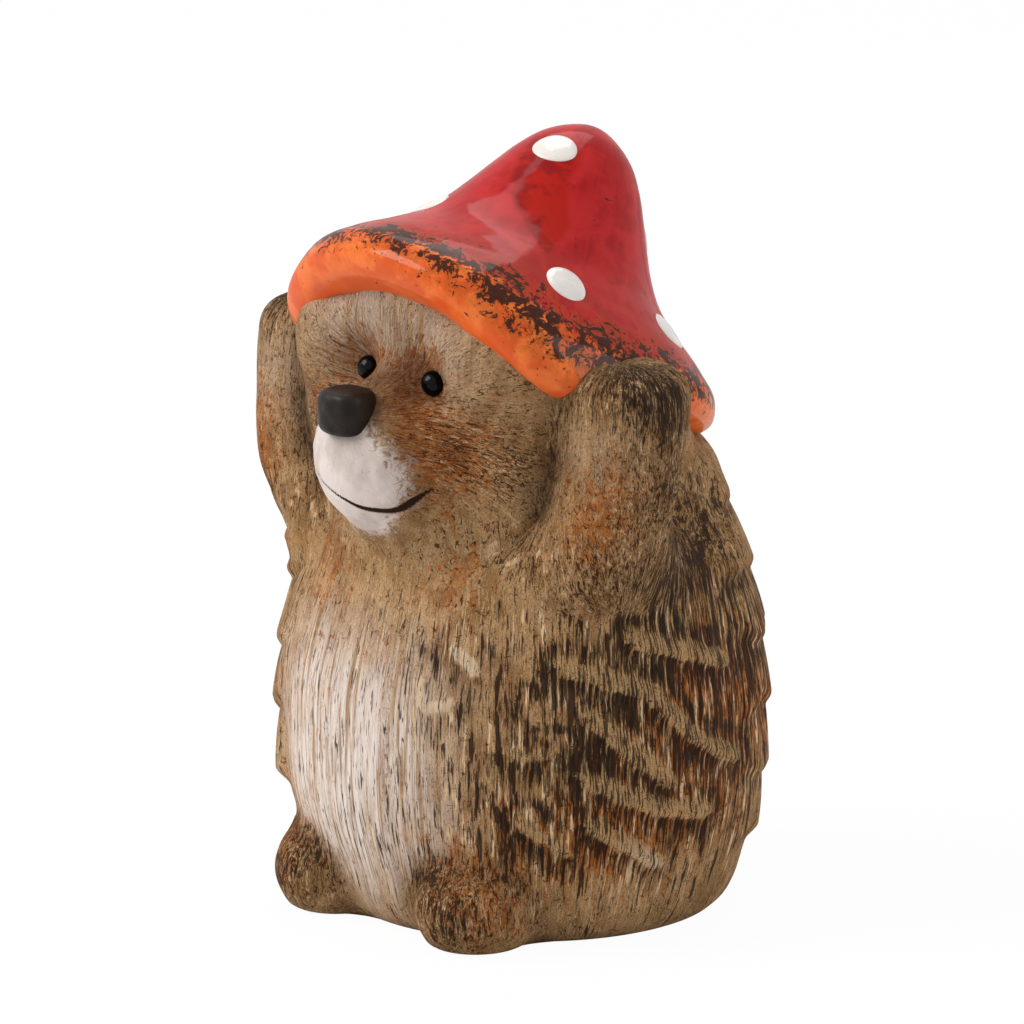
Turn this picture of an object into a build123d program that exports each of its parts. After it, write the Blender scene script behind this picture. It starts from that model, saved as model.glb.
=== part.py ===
"""Hedgehog figurine in hollow earthenware, holding a mushroom cap on its head with both paws.

The figurine faces -Y and stands on z = 0. Every piece is a casting or a pressed lump that a potter
lutes to its neighbour with slip, so each one is cut to the surface that it seats on.
Units are millimetres.
"""

import math
import os

from build123d import *

# Torso, an upright egg cast hollow
torso_width = 125.0
torso_depth = 121.0
torso_height = 128.0
wall = 5.0
vent_radius = 7.0
neck_bore_radius = 10.0
# Share of the height, then of the half width, the half depth and the backward shift by the half depth
torso_section_shares = [
    (0.00, 0.755, 0.775, 0.055),
    (0.025, 0.82, 0.83, 0.04),
    (0.05, 0.855, 0.86, 0.03),
    (0.12, 0.91, 0.91, 0.02),
    (0.24, 0.975, 0.975, 0.00),
    (0.40, 1.00, 1.00, 0.00),
    (0.50, 0.995, 0.99, 0.00),
    (0.58, 0.975, 0.96, 0.01),
    (0.70, 0.93, 0.885, 0.02),
    (0.82, 0.85, 0.785, 0.035),
    (0.875, 0.785, 0.72, 0.06),
    (0.94, 0.69, 0.60, 0.11),
    (1.00, 0.48, 0.42, 0.15),
]

# Head, a hollow barrel set down over the torso's top, its crown kept inside the cap
head_width = 108.0
head_depth = 78.0
head_height = 78.0
head_overlap = 30.0
crown_hole_radius = 9.0
# Share of the height, then of the half width, the half depth and the backward shift by the half depth
head_section_shares = [
    (0.00, 0.60, 0.66, -0.10),
    (0.075, 0.80, 0.81, -0.15),
    (0.18, 0.925, 0.915, -0.20),
    (0.285, 0.98, 0.955, -0.21),
    (0.41, 1.00, 0.97, -0.225),
    (0.54, 0.98, 0.96, -0.245),
    (0.64, 0.905, 0.935, -0.27),
    (0.72, 0.79, 0.91, -0.295),
    (0.795, 0.645, 0.86, -0.345),
    (0.87, 0.49, 0.775, -0.415),
    (0.935, 0.345, 0.64, -0.485),
    (1.00, 0.16, 0.36, -0.54),
]

# Muzzle, a hollow snout luted to the front of the head
muzzle_width = 43.0
muzzle_length = 47.0
muzzle_height = 43.0
muzzle_forward = 42.0
muzzle_middle_height = 125.0

# Nose button, pressed on the upper front of the muzzle
nose_width = 17.0
nose_depth = 15.0
nose_height = 12.5
nose_pitch = 37.0

# Eyes, glazed beads set in sockets above the muzzle
eye_radius = 3.1
eye_spacing = 24.0
eye_middle_height = 145.0
eye_sink = 1.2

# Arms, raised beside the head, each a solid sausage flattened against it
arm_width = 29.0
arm_depth = 33.0
arm_height = 66.0
arm_base_height = 87.0
arm_spacing = 111.0
arm_forward = 17.5
# Share of the height, then of the half width and half depth, outward by the width, forward by the depth
arm_section_shares = [
    (0.00, 0.30, 0.30, -0.40, -0.02),
    (0.06, 0.64, 0.60, -0.34, 0.02),
    (0.16, 0.86, 0.82, -0.23, 0.06),
    (0.30, 0.97, 0.95, -0.09, 0.09),
    (0.46, 1.00, 1.00, 0.00, 0.08),
    (0.64, 0.98, 1.00, 0.06, 0.03),
    (0.82, 0.95, 0.98, 0.08, -0.01),
    (0.93, 0.88, 0.92, 0.07, -0.03),
    (0.98, 0.70, 0.74, 0.04, -0.04),
    (1.00, 0.48, 0.50, 0.02, -0.04),
]

# Feet, two rounded lumps flattened under the front of the torso
foot_width = 32.0
foot_length = 34.0
foot_height = 25.0
foot_sink = 4.0
foot_spacing = 52.0
foot_forward = 40.5

# Mushroom cap, a hollow bell tilted back, with a rolled rim that dips where the paws hold it
cap_rim_radius = 54.8
cap_height = 57.9
cap_tilt = 32.1
cap_rim_height = 149.1
cap_rim_forward = 4.9
cap_rim_dip = 12.4
cap_rim_dip_angle = 65.0
cap_rim_dip_spread = 32.5
# Height above the rim as a share of the cap's height, and radius as a share of the rim's
cap_profile_shares = [
    (-0.115, 0.86),
    (-0.095, 0.945),
    (-0.02, 1.03),
    (0.06, 1.01),
    (0.15, 0.905),
    (0.25, 0.745),
    (0.35, 0.605),
    (0.45, 0.52),
    (0.56, 0.45),
    (0.68, 0.38),
    (0.80, 0.305),
    (0.89, 0.23),
    (0.96, 0.13),
    (0.995, 0.04),
]
# Height above the rim and radius of the hollow, as the shares above
cap_hollow_shares = [
    (0.18, 0.54),
    (0.30, 0.53),
    (0.40, 0.45),
    (0.50, 0.385),
    (0.62, 0.315),
    (0.75, 0.24),
    (0.85, 0.165),
    (0.92, 0.08),
]
cap_seat_radius = 38.0
cap_seat_drop = 8.5
cap_dip_fade_share = 0.45
cap_ring_points = 20

# White enamel dots on the cap: angle about its axis from the front, height above the rim as a share
dot_radius = 5.8
dot_half_thickness = 1.5
dot_sink = 0.9
dot_place_shares = [
    (18.0, 0.80),
    (57.0, 0.23),
    (105.0, 0.24),
    (-21.0, 0.45),
    (-70.0, 0.30),
    (-75.0, 0.68),
    (-128.0, 0.26),
    (148.0, 0.62),
    (172.0, 0.20),
    (-160.0, 0.45),
]

# Quills, scalloped strips of clay that lie over each other like shingles from flank to flank
quill_row_pitch = 17.6
quill_first_row = 14.0
quill_length = 29.0
quill_thickness = 15.0
quill_width = 34.0
quill_step = 23.0
quill_lean = 13.0
quill_proud = 3.0
quill_front_rise = 14.0
# Angle from the front where each row starts, from the lowest row up; the arms cover the start of the top ones
quill_start_angles = [52.0, 52.0, 52.0, 70.0, 100.0, 118.0]

overrun = 20.0


def ellipsoid(width, depth, height, centre):
    """Ball of radius 1 stretched to its three sizes about its centre."""
    return Pos(centre) * scale(Sphere(1), by=(width / 2, depth / 2, height / 2))


def stacked_form(section_shares, width, depth, height, base_height, inset):
    """Loft through level ellipses, every section and both ends drawn in by the inset."""
    sections = []
    for height_share, width_share, depth_share, back_share in section_shares:
        plane = Plane.XY.offset(base_height + inset + height_share * (height - 2 * inset))
        ellipse = Ellipse(width_share * width / 2 - inset, depth_share * depth / 2 - inset)
        sections.append(plane * Pos(0, back_share * depth / 2) * ellipse)
    return loft(sections)


def shares_between(section_shares, height_share):
    """The shares of a section at any height, between the two nearest rows of a table."""
    for low, high in zip(section_shares, section_shares[1:]):
        if height_share <= high[0]:
            part = (height_share - low[0]) / (high[0] - low[0])
            return [a + (b - a) * part for a, b in zip(low[1:], high[1:])]
    raise ValueError("the height share lies above the last section")


def torso_point(angle, height):
    """A point of the torso's skin at an angle from the front and a height above the ground."""
    width_share, depth_share, back_share = shares_between(torso_section_shares, height / torso_height)
    turn = math.radians(angle)
    x = width_share * torso_width / 2 * math.sin(turn)
    y = (back_share - depth_share * math.cos(turn)) * torso_depth / 2
    return Vector(x, y, height)


def cap_drop(angle):
    """How far the rim dips at an angle from the front, most beside each paw."""
    away = (abs(angle) - cap_rim_dip_angle) / cap_rim_dip_spread
    return cap_rim_dip * math.exp(-away * away)


def cap_place(angle, height, radius):
    """A point of the figurine's frame, from the angle, height and radius about the cap's own axis."""
    turn = math.radians(angle)
    tilt = math.radians(cap_tilt)
    forward = radius * math.cos(turn)
    y = -cap_rim_forward - forward * math.cos(tilt) + height * math.sin(tilt)
    z = cap_rim_height + forward * math.sin(tilt) + height * math.cos(tilt)
    return Vector(radius * math.sin(turn), y, z)


def cap_height_at(height_share, angle):
    """Height above the rim's plane on the cap's skin, with the dip fading out up the flank."""
    fade = min(max(1 - height_share / cap_dip_fade_share, 0), 1)
    return height_share * cap_height - cap_drop(angle) * fade * fade


def cap_ring(heights, radius):
    """Closed ring about the cap's axis, with one height for each of its points."""
    points = []
    for k, height in enumerate(heights):
        points.append(cap_place(360 * k / cap_ring_points - 180, height, radius))
    return Wire([Edge.make_spline(points, periodic=True)])


def cap_form():
    """Loft through rings from the tip to the dipping rim, then in to a level seat buried in the head."""
    rings = []
    for height_share, radius_share in reversed(cap_profile_shares):
        heights = []
        for k in range(cap_ring_points):
            heights.append(cap_height_at(height_share, 360 * k / cap_ring_points - 180))
        rings.append(cap_ring(heights, radius_share * cap_rim_radius))
    rings.append(cap_ring([-cap_seat_drop] * cap_ring_points, cap_seat_radius))
    return Solid.make_loft(rings)


def cap_hollow():
    """Loft through level circles about the cap's axis, inside its crown."""
    axis = cap_place(0, 1, 0) - cap_place(0, 0, 0)
    circles = []
    for height_share, radius_share in cap_hollow_shares:
        plane = Plane(cap_place(0, height_share * cap_height, 0), z_dir=axis)
        circles.append(plane * Circle(radius_share * cap_rim_radius))
    return loft(circles)


def arm_form(side):
    """Loft through flat ellipses from the elbow up to the paw; side is 1 for the left arm, -1 for the right."""
    sections = []
    for height_share, width_share, depth_share, out_share, forward_share in arm_section_shares:
        x = side * (arm_spacing / 2 + out_share * arm_width)
        y = -arm_forward - forward_share * arm_depth
        ellipse = Ellipse(width_share * arm_width / 2, depth_share * arm_depth / 2)
        sections.append(Plane.XY.offset(arm_base_height + height_share * arm_height) * Pos(x, y) * ellipse)
    return loft(sections)


def foot_form(side):
    """Ellipsoid sunk into the ground by its sole and cut flat there."""
    centre = Vector(side * foot_spacing / 2, -foot_forward, (foot_height - foot_sink) / 2)
    lump = ellipsoid(foot_width, foot_length, foot_height + foot_sink, centre)
    ground = Pos(0, 0, -overrun) * Box(torso_width + overrun, torso_depth + overrun, 2 * overrun)
    return lump - ground


def eye_form(side):
    """Bead sunk a little into the front of the head."""
    height_share = (eye_middle_height - head_base_height) / head_height
    width_share, depth_share, back_share = shares_between(head_section_shares, height_share)
    across = eye_spacing / head_width / width_share
    front = (back_share - depth_share * math.sqrt(1 - across * across)) * head_depth / 2
    return Pos(side * eye_spacing / 2, front + eye_sink, eye_middle_height) * Sphere(eye_radius)


def cap_point(angle, height_share):
    """A point of the cap's skin at an angle about its axis and a share of its height."""
    for low, high in zip(cap_profile_shares, cap_profile_shares[1:]):
        if height_share <= high[0]:
            part = (height_share - low[0]) / (high[0] - low[0])
            radius = (low[1] + (high[1] - low[1]) * part) * cap_rim_radius
            return cap_place(angle, cap_height_at(height_share, angle), radius)
    raise ValueError("the height share lies above the cap")


def dot_form(angle, height_share):
    """Lens of enamel seated on the cap's skin, facing the way the skin does."""
    here = cap_point(angle, height_share)
    across = cap_point(angle + 1, height_share) - here
    upwards = cap_point(angle, height_share + 0.01) - here
    outwards = across.cross(upwards).normalized()
    lens = scale(Sphere(1), by=(dot_radius, dot_radius, dot_half_thickness))
    return Plane(here - outwards * dot_sink, z_dir=outwards) * lens


def quill_lift(angle):
    """How far a row stands above its height at the back: it climbs towards the front of each flank."""
    forward = (180 - angle) / (180 - min(quill_start_angles))
    return quill_front_rise * forward * forward


def quill_form(row, angle):
    """One quill tuft: a flat ellipsoid laid along its row, its lower tip tipped out of the torso's flank."""
    tip = torso_point(angle, quill_first_row + row * quill_row_pitch + quill_lift(angle))
    middle = torso_point(angle, min(tip.Z + quill_length / 2, torso_height))
    run_in = math.hypot(tip.X, tip.Y) - math.hypot(middle.X, middle.Y)
    slope = math.degrees(math.atan2(run_in, middle.Z - tip.Z))
    beside = torso_point(angle - 1, middle.Z + quill_lift(angle - 1) - quill_lift(angle))
    climb = math.degrees(math.atan2(beside.Z - middle.Z, (beside - middle).length))
    turn = math.radians(angle)
    centre = middle - Vector(math.sin(turn), -math.cos(turn)) * (quill_thickness / 2 - quill_proud)
    lump = scale(Sphere(1), by=(quill_thickness / 2, quill_width / 2, quill_length / 2))
    return Pos(centre) * Rot(0, 0, angle - 90) * Rot(0, -quill_lean - slope, 0) * Rot(-climb, 0, 0) * lump


def quill_angles(row):
    """Angles of one row's tufts on the left flank, from the middle of the back to where the row starts."""
    angles = []
    angle = 180 - quill_step / 2 * (row % 2)
    while angle >= quill_start_angles[row]:
        angles.append(angle)
        angle -= quill_step
    return angles


def quill_strip(row):
    """One row's tufts merged from flank to flank."""
    left = [quill_form(row, angle) for angle in quill_angles(row)]
    right = [mirror(form, about=Plane.YZ) for form, angle in zip(left, quill_angles(row)) if angle < 180]
    return left[0].fuse(*left[1:], *right)


head_base_height = torso_height - head_overlap
torso_outer = stacked_form(torso_section_shares, torso_width, torso_depth, torso_height, 0, 0)
torso_cavity = stacked_form(torso_section_shares, torso_width, torso_depth, torso_height, 0, wall)
vent = Pos(0, 0, wall / 2) * Cylinder(vent_radius, 2 * wall)
neck_bore = Pos(0, torso_section_shares[-1][3] * torso_depth / 2, torso_height - wall) * Cylinder(
    neck_bore_radius, 4 * wall
)
torso = torso_outer - torso_cavity - vent - neck_bore

head_outer = stacked_form(head_section_shares, head_width, head_depth, head_height, head_base_height, 0)
head_cavity = stacked_form(head_section_shares[:-1], head_width, head_depth, head_height, head_base_height, wall)
muzzle_centre = Vector(0, -muzzle_forward, muzzle_middle_height)
muzzle_outer = ellipsoid(muzzle_width, muzzle_length, muzzle_height, muzzle_centre)
nose_turn = math.radians(nose_pitch)
nose_centre = muzzle_centre + Vector(
    0, -muzzle_length / 2 * math.cos(nose_turn), muzzle_height / 2 * math.sin(nose_turn)
)
nose = ellipsoid(nose_width, nose_depth, nose_height, nose_centre)
eyes = {"left": eye_form(1), "right": eye_form(-1)}

crown = Pos(0, head_section_shares[-1][3] * head_depth / 2, head_base_height + head_height)
head = head_outer - head_cavity - crown * Cylinder(crown_hole_radius, 6 * wall) - torso_outer
muzzle = muzzle_outer - head_outer - torso_outer - nose
for eye in eyes.values():
    head -= eye
    muzzle -= eye

cap_outer = cap_form()
cap = cap_outer - cap_hollow() - head_outer - torso_outer
pieces = {"torso": torso, "head": head, "muzzle": muzzle, "nose": nose, "mushroom_cap": cap}
arm_forms = {"left": arm_form(1), "right": arm_form(-1)}
for name, side in (("left", 1), ("right", -1)):
    pieces["arm_" + name] = arm_forms[name] - head_outer - torso_outer - cap_outer
    pieces["foot_" + name] = foot_form(side) - torso_outer
    pieces["eye_" + name] = eyes[name]

pieces["cap_dots"] = Compound([(dot_form(*place) - cap_outer).solids()[0] for place in dot_place_shares])
seats = [torso_outer, head_outer, cap_outer, *arm_forms.values(), foot_form(1), foot_form(-1)]
strips_above = []
for row in reversed(range(len(quill_start_angles))):
    strip = quill_strip(row)
    cut = strip
    for seat in [*strips_above, *seats]:
        cut = cut - seat
    pieces[f"quill_row_{row + 1}"] = cut
    strips_above = [strip]

os.makedirs("parts", exist_ok=True)
for name, piece in pieces.items():
    export_step(piece, f"parts/{name}.step")
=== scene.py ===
"""Looks of the hedgehog figurine: slip-cast body in dry-brushed paint, glazed cap, nose and eyes.

Lengths in the shape functions are millimetres in the CAD's frame; a mesh is written in metres.
"""

import math

import bpy
import numpy as np
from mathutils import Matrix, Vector


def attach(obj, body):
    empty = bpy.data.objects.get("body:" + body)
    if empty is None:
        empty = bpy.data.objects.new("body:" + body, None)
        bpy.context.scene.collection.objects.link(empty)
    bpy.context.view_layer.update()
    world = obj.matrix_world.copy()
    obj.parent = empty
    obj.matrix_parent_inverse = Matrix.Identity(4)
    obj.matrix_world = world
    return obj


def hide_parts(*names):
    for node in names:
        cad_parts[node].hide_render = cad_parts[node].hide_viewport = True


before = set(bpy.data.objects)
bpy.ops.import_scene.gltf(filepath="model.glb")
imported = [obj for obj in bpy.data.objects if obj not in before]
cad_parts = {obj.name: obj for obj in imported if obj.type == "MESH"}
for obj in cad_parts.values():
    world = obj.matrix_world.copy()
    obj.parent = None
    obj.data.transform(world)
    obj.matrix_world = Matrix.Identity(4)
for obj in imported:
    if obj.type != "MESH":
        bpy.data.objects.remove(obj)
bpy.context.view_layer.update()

MILLIMETRE = 0.001

# Level ellipses that each casting is stacked from: height, half width, half depth, middle in x, middle in y
torso_rings = np.array([(h * 128.0, w * 62.5, d * 60.5, 0, back * 60.5) for h, w, d, back in (
    (0.00, 0.755, 0.775, 0.055), (0.025, 0.82, 0.83, 0.04), (0.05, 0.855, 0.86, 0.03),
    (0.12, 0.91, 0.91, 0.02), (0.24, 0.975, 0.975, 0.00), (0.40, 1.00, 1.00, 0.00),
    (0.50, 0.995, 0.99, 0.00), (0.58, 0.975, 0.96, 0.01), (0.70, 0.93, 0.885, 0.02),
    (0.82, 0.85, 0.785, 0.035), (0.875, 0.785, 0.72, 0.06), (0.94, 0.69, 0.60, 0.11),
    (1.00, 0.48, 0.42, 0.15))])
head_rings = np.array([(98.0 + h * 78.0, w * 54.0, d * 39.0, 0, back * 39.0) for h, w, d, back in (
    (0.00, 0.60, 0.66, -0.10), (0.075, 0.80, 0.81, -0.15), (0.18, 0.925, 0.915, -0.20),
    (0.285, 0.98, 0.955, -0.21), (0.41, 1.00, 0.97, -0.225), (0.54, 0.98, 0.96, -0.245),
    (0.64, 0.905, 0.935, -0.27), (0.72, 0.79, 0.91, -0.295), (0.795, 0.645, 0.86, -0.345),
    (0.87, 0.49, 0.775, -0.415), (0.935, 0.345, 0.64, -0.485), (1.00, 0.16, 0.36, -0.54))])
arm_rings = np.array([(87.0 + h * 66.0, w * 14.0, d * 15.0, 54.8 + out * 29.0, -18.4 - forward * 33.0)
                      for h, w, d, out, forward in (
    (0.00, 0.30, 0.30, -0.40, -0.02), (0.06, 0.64, 0.60, -0.34, 0.02), (0.16, 0.86, 0.82, -0.23, 0.06),
    (0.30, 0.97, 0.95, -0.09, 0.09), (0.46, 1.00, 1.00, 0.00, 0.08), (0.64, 0.98, 1.00, 0.06, 0.03),
    (0.82, 0.97, 1.00, 0.08, -0.01), (0.93, 0.95, 0.98, 0.07, -0.03), (1.00, 0.90, 0.94, 0.05, -0.04))])
arm_middle = np.array([55.5, -18.5, 121.0])
muzzle_middle = np.array([0, -42.0, 125.0])
muzzle_reach = np.array([21.5, 23.5, 21.5])
foot_middle = np.array([26.0, -40.5, 10.5])
foot_reach = np.array([16.0, 17.0, 14.5])
nose_middle = np.array([0, -61.2, 138.3])
nose_reach = np.array([7.0, 6.6, 5.9])
eye_middle = np.array([11.8, -43.0, 144.3])
eye_reach = 3.3
temple_middle = np.array([28.0, -32.5, 150.0])
temple_reach = np.array([14.5, 14.5, 15.0])
temple_blend, snout_blend = 10.0, 9.0
socket_depth, socket_radius = 5.2, 8.5
# Widths of the slip drawn over the seams: torso to head, torso to arm, head to arm and torso to foot
neck_slip, shoulder_slip, cheek_slip, foot_slip = 16.0, 22.0, 6.0, 6.0

# The cap's profile from its tip to its rolled rim: height over the rim and radius, as shares
cap_height = 57.9
cap_radius = 54.8
cap_tilt = math.radians(32.1)
cap_rim_middle = (-4.9, 149.1)
cap_dip, cap_dip_angle, cap_dip_spread, cap_dip_fade = 12.4, 65.0, 32.5, 0.45
cap_profile = np.array([
    (1.0, 0.0), (0.995, 0.04), (0.96, 0.13), (0.89, 0.23), (0.80, 0.305), (0.68, 0.38), (0.56, 0.45),
    (0.45, 0.52), (0.35, 0.605), (0.25, 0.745), (0.15, 0.905), (0.06, 1.01), (-0.02, 1.03),
    (-0.095, 0.945), (-0.115, 0.86)]) * (cap_height, cap_radius)
cap_seat = (-8.5, 38.0)


def curve_through(knots, values, at):
    """Cubic through the values at the knots, each slope taken from the neighbours; flat past both ends."""
    slopes = np.gradient(values, knots, axis=0)
    at = np.clip(at, knots[0], knots[-1])
    i = np.clip(np.searchsorted(knots, at) - 1, 0, len(knots) - 2)
    span = knots[i + 1] - knots[i]
    s = (at - knots[i]) / span
    if values.ndim > 1:
        s, span = s[..., None], span[..., None]
    rise = s * s * (3 - 2 * s)
    return (values[i] * (1 - rise) + values[i + 1] * rise
            + span * s * (1 - s) * ((1 - s) * slopes[i] - s * slopes[i + 1]))


def soft_noise(seed, across, along, period=256):
    """Random numbers from 0 to 1 at whole places, eased between them; it repeats after the period across."""
    table = np.random.default_rng(seed).random((period, 256))
    i, j = np.floor(across).astype(int), np.floor(along).astype(int)
    s, t = across - i, along - j
    s, t = s * s * (3 - 2 * s), t * t * (3 - 2 * t)
    i0, i1, j0, j1 = i % period, (i + 1) % period, j % 256, (j + 1) % 256
    return ((table[i0, j0] * (1 - s) + table[i1, j0] * s) * (1 - t)
            + (table[i0, j1] * (1 - s) + table[i1, j1] * s) * t)


def ease(low, high, value):
    """Smooth step from 0 at low to 1 at high."""
    s = np.clip((value - low) / (high - low), 0, 1)
    return s * s * (3 - 2 * s)


def smooth_least(a, b, width):
    """The smaller of two fields, rounded where they are nearer to each other than the width."""
    h = np.clip(width - np.abs(a - b), 0, None) / width
    return np.minimum(a, b) - h * h * width / 4


def smooth_most(a, b, width):
    """The larger of two fields, rounded where they are nearer to each other than the width."""
    return -smooth_least(-a, -b, width)


def stack_field(points, rings, power=2.0, top_round=4.0, foot_round=4.0):
    """Distance outwards from a stack of ellipses: radius share less 1, over its slope, cut level at both ends."""
    a, b, cx, cy = np.moveaxis(curve_through(rings[:, 0], rings[:, 1:], points[..., 2]), -1, 0)
    x, y = np.abs(points[..., 0] - cx) / a, np.abs(points[..., 1] - cy) / b
    share = (x ** power + y ** power) ** (1 / power) + 1e-6
    slope = np.hypot((x / share) ** (power - 1) / a, (y / share) ** (power - 1) / b) + 1e-6
    side = (share - 1) / slope
    side = smooth_most(side, points[..., 2] - rings[-1, 0], top_round)
    return smooth_most(side, rings[0, 0] - points[..., 2], foot_round)


def ball_field(points, middle, reach):
    """Distance outwards from a stretched ball: radius share less 1, over that share's slope."""
    p = (points - middle) / reach
    share = np.linalg.norm(p, axis=-1) + 1e-6
    return (share - 1) * share / (np.linalg.norm(p / reach, axis=-1) + 1e-6)


def on_left(points):
    """The same points, with those on the right side mirrored to the left."""
    return np.stack([np.abs(points[..., 0]), points[..., 1], points[..., 2]], -1)


def fillet(own, other, width):
    """How far slip fills the corner with a neighbour: a quarter of its width where the skins meet, then it dives."""
    q = (own - other) / width
    return width / 4 * np.clip(1 + q, 0, 1.5) ** 2 * (1 - ease(0.0, 0.5, q))


def torso_field(points):
    """The torso's egg of level ellipses."""
    return stack_field(points, torso_rings, foot_round=0.5)


def head_field(points):
    """The head's barrel, its temples under the cap and its snout, blended, with a socket pressed round each eye."""
    skull = stack_field(points, head_rings, power=2.4)
    snout = ball_field(points, muzzle_middle, muzzle_reach)
    temple = ball_field(on_left(points), temple_middle, temple_reach)
    near_eye = np.linalg.norm(on_left(points) - eye_middle, axis=-1)
    form = smooth_least(smooth_least(skull, temple, temple_blend), snout, snout_blend)
    return form + socket_depth * np.exp(-(near_eye / socket_radius) ** 2)


def arm_field(points):
    """Both arms, each a bent sausage a little square in section."""
    return stack_field(on_left(points), arm_rings, power=2.6, top_round=9.0, foot_round=8.0)


def foot_field(points):
    """Both feet, each a lump pressed flat on its sole."""
    return smooth_most(ball_field(on_left(points), foot_middle, foot_reach), -points[..., 2], 2.0)


def cast(start, way, reach, field):
    """Where each ray leaves the form: the change of the field's sign, found by halving the ray 24 times."""
    low, high = np.zeros(start.shape[:-1]), np.full(start.shape[:-1], float(reach))
    for _ in range(24):
        middle = (low + high) / 2
        inside = field(start + way * middle[..., None]) < 0
        low, high = np.where(inside, middle, low), np.where(inside, high, middle)
    return start + way * high[..., None]


def sphere_ways(rows, around, pole):
    """Directions from a point: rows by their angle away from the pole, columns by their angle about it."""
    pole = np.array(pole, float) / np.linalg.norm(pole)
    side = np.cross(pole, (1.0, 0, 0))
    side /= np.linalg.norm(side)
    other = np.cross(pole, side)
    away = np.linspace(0, math.pi, rows)[:, None, None]
    turn = np.linspace(0, 2 * math.pi, around, endpoint=False)[None, :, None]
    return np.cos(away) * pole + np.sin(away) * (np.cos(turn) * side + np.sin(turn) * other)


def skin(name, rows, attributes, material, slot, *nodes):
    """Closed mesh through rings of points, the first and the last one point each; it stands for the nodes."""
    count, around = rows.shape[:2]
    points = np.vstack([rows[0, :1], rows[1:-1].reshape(-1, 3), rows[-1, :1]]) * MILLIMETRE
    ring = np.arange(around)
    after = (ring + 1) % around
    base = 1 + np.arange(count - 3)[:, None] * around
    quads = np.stack([base + ring, base + after, base + around + after, base + around + ring], -1).reshape(-1, 4)
    first = np.stack([np.zeros(around, int), 1 + after, 1 + ring], -1)
    low = 1 + (count - 3) * around
    last = np.stack([low + ring, low + after, np.full(around, len(points) - 1)], -1)
    tops = points[first]
    volume = np.einsum("ij,ij->i", tops[:, 0], np.cross(tops[:, 1], tops[:, 2])).sum()
    for a, b, c in ((0, 1, 2), (0, 2, 3)):
        volume += np.einsum("ij,ij->i", points[quads[:, a]],
                            np.cross(points[quads[:, b]], points[quads[:, c]])).sum()
    if volume < 0:
        quads, first, last = quads[:, ::-1], first[:, ::-1], last[:, ::-1]
    mesh = bpy.data.meshes.new(name)
    mesh.from_pydata(points.tolist(), [], quads.tolist() + first.tolist() + last.tolist())
    mesh.polygons.foreach_set("use_smooth", np.ones(len(mesh.polygons), bool))
    for key, values in attributes.items():
        kind = "FLOAT_VECTOR" if values.ndim == 3 else "FLOAT"
        flat = np.concatenate([values[0, :1], values[1:-1].reshape(-1, *values.shape[2:]), values[-1, :1]])
        layer = mesh.attributes.new(key, kind, "POINT")
        layer.data.foreach_set("vector" if kind == "FLOAT_VECTOR" else "value", flat.astype(np.float32).ravel())
    mesh.update()
    mesh.materials.append(material)
    piece = bpy.data.objects.new(name, mesh)
    bpy.context.scene.collection.objects.link(piece)
    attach(piece, "root")
    if nodes:
        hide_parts(*nodes)
    return piece


def patches(points, spots):
    """Soft round patches of paint: the sum of amount times exp(-(distance over radius) squared), up to 1."""
    total = np.zeros(points.shape[:-1])
    for x, y, z, radius, amount in spots:
        far = np.linalg.norm(points - np.array([x, y, z]), axis=-1) / radius
        total += amount * np.exp(-far * far)
    return np.clip(total, 0, 1)


# Materials

def linear(code):
    """A colour written as sRGB hex, as linear RGBA."""
    parts = [int(code[i:i + 2], 16) / 255 for i in (1, 3, 5)]
    return (*[p / 12.92 if p <= 0.04045 else ((p + 0.055) / 1.055) ** 2.4 for p in parts], 1)


def add(tree, kind, inputs=None, output=0, **settings):
    """Adds a node with its settings and gives one output; an input is a value, an sRGB hex or an output to link."""
    node = tree.nodes.new("ShaderNode" + kind)
    for key, value in settings.items():
        setattr(node, key, value)
    for key, value in (inputs or {}).items():
        if isinstance(value, bpy.types.NodeSocket):
            tree.links.new(value, node.inputs[key])
        else:
            node.inputs[key].default_value = linear(value) if isinstance(value, str) else value
    return node.outputs[output] if node.outputs else None


def coverage(tree, pattern, low, high, least=0.0, most=1.0, shifts=()):
    """How much of a coat shows: eased from least to most as a pattern, plus weighted others, goes low to high."""
    for other, weight in shifts:
        pattern = add(tree, "Math", {0: other, 1: weight, 2: pattern}, operation="MULTIPLY_ADD")
    return add(tree, "MapRange", {0: pattern, 1: low, 2: high, 3: least, 4: most}, interpolation_type="SMOOTHSTEP")


def painted(tree, body, *coats):
    """Coats over a body in their order, each a colour and the masks whose product is its amount."""
    for colour, amount, *masks in coats:
        for mask in masks:
            amount = add(tree, "Math", {0: amount, 1: mask}, operation="MULTIPLY")
        body = add(tree, "Mix", {0: amount, 6: body, 7: colour}, 2, data_type="RGBA")
    return body


def new_material(name):
    """A material and its empty tree."""
    material = bpy.data.materials.new(name)
    material.use_nodes = True
    material.node_tree.nodes.clear()
    return material, material.node_tree


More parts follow.
